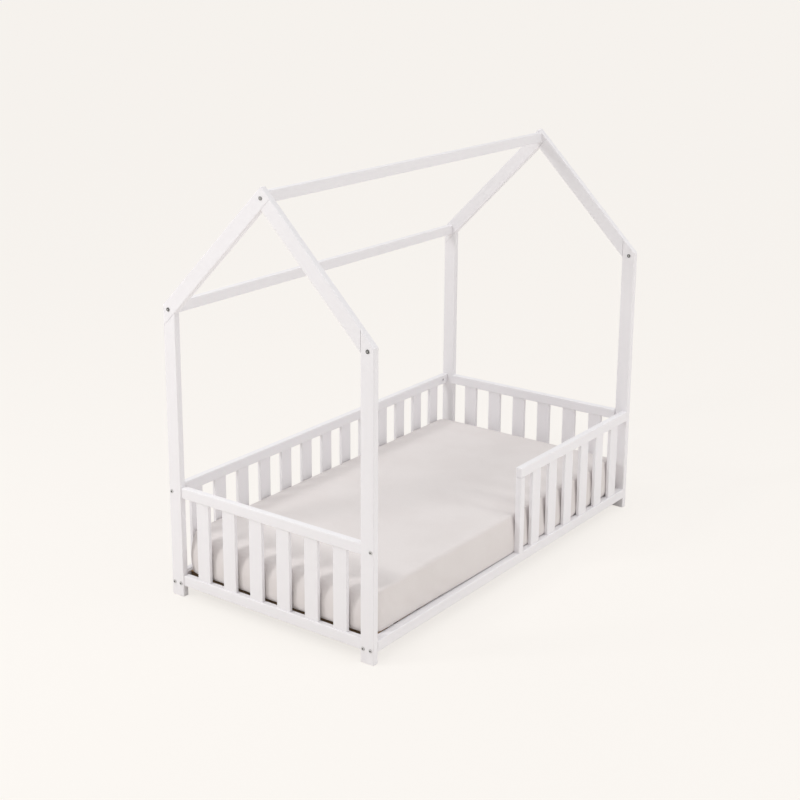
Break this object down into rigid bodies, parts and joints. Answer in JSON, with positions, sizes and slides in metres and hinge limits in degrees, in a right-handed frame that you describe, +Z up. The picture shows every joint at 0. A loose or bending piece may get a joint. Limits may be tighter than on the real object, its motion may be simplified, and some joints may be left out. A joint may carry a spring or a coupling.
{
  "type": "house frame bed",
  "caption": "Low child's bed in a timber house frame: gabled posts and rafters, slatted guards, an open entry side, a slatted base and a mattress in a fitted sheet.",
  "frame": {"origin": "on the floor under the middle of the bed", "axes": "+Z up, +Y along the bed towards the head end, +X across it towards the open entry side"},
  "size_m": [0.87, 1.675, 1.4704],
  "materials": {
    "painted_wood": "satin white paint over planed pine",
    "bare_pine": "planed, unpainted",
    "bare_beech": "fluted dowel rod",
    "zinc_plated_steel": "bright zinc plate, satin",
    "tape_webbing": "plain woven tape",
    "mattress_cover": "knitted mattress ticking",
    "sheet_cotton": "plain-weave cotton, warm pale grey"
  },
  "bodies": {
    "frame": {"barrel_nuts": "zinc_plated_steel", "bed_slats": "bare_pine", "bolts": "zinc_plated_steel", "dowels": "bare_beech", "foot_bottom_rail": "painted_wood", "foot_left_post": "painted_wood", "foot_left_rafter": "painted_wood", "foot_right_post": "painted_wood", "foot_right_rafter": "painted_wood", "foot_slat_1": "painted_wood", "foot_slat_2": "painted_wood", "foot_slat_3": "painted_wood", "foot_slat_4": "painted_wood", "foot_slat_5": "painted_wood", "foot_slat_6": "painted_wood", "foot_top_rail": "painted_wood", "head_bottom_rail": "painted_wood", "head_left_post": "painted_wood", "head_left_rafter": "painted_wood", "head_right_post": "painted_wood", "head_right_rafter": "painted_wood", "head_slat_1": "painted_wood", "head_slat_2": "painted_wood", "head_slat_3": "painted_wood", "head_slat_4": "painted_wood", "head_slat_5": "painted_wood", "head_slat_6": "painted_wood", "head_top_rail": "painted_wood", "left_bottom_rail": "painted_wood", "left_eaves_beam": "painted_wood", "left_ledger": "painted_wood", "left_slat_1": "painted_wood", "left_slat_10": "painted_wood", "left_slat_11": "painted_wood", "left_slat_12": "painted_wood", "left_slat_13": "painted_wood", "left_slat_2": "painted_wood", "left_slat_3": "painted_wood", "left_slat_4": "painted_wood", "left_slat_5": "painted_wood", "left_slat_6": "painted_wood", "left_slat_7": "painted_wood", "left_slat_8": "painted_wood", "left_slat_9": "painted_wood", "left_top_rail": "painted_wood", "ridge_beam": "painted_wood", "right_bottom_rail": "painted_wood", "right_guard_end_post": "painted_wood", "right_guard_slat_1": "painted_wood", "right_guard_slat_2": "painted_wood", "right_guard_slat_3": "painted_wood", "right_guard_slat_4": "painted_wood", "right_guard_slat_5": "painted_wood", "right_guard_slat_6": "painted_wood", "right_guard_top_rail": "painted_wood", "right_ledger": "painted_wood", "slat_straps": "tape_webbing", "sleeve_nuts": "zinc_plated_steel"},
    "mattress": {"mattress_core": "mattress_cover", "fitted_sheet": "sheet_cotton"}
  },
  "joints": [
    {"name": "mattress_lift", "type": "slide", "parent": "frame", "child": "mattress", "axis": [0, 0, 1], "range_m": [0, 0.35]}
  ]
}
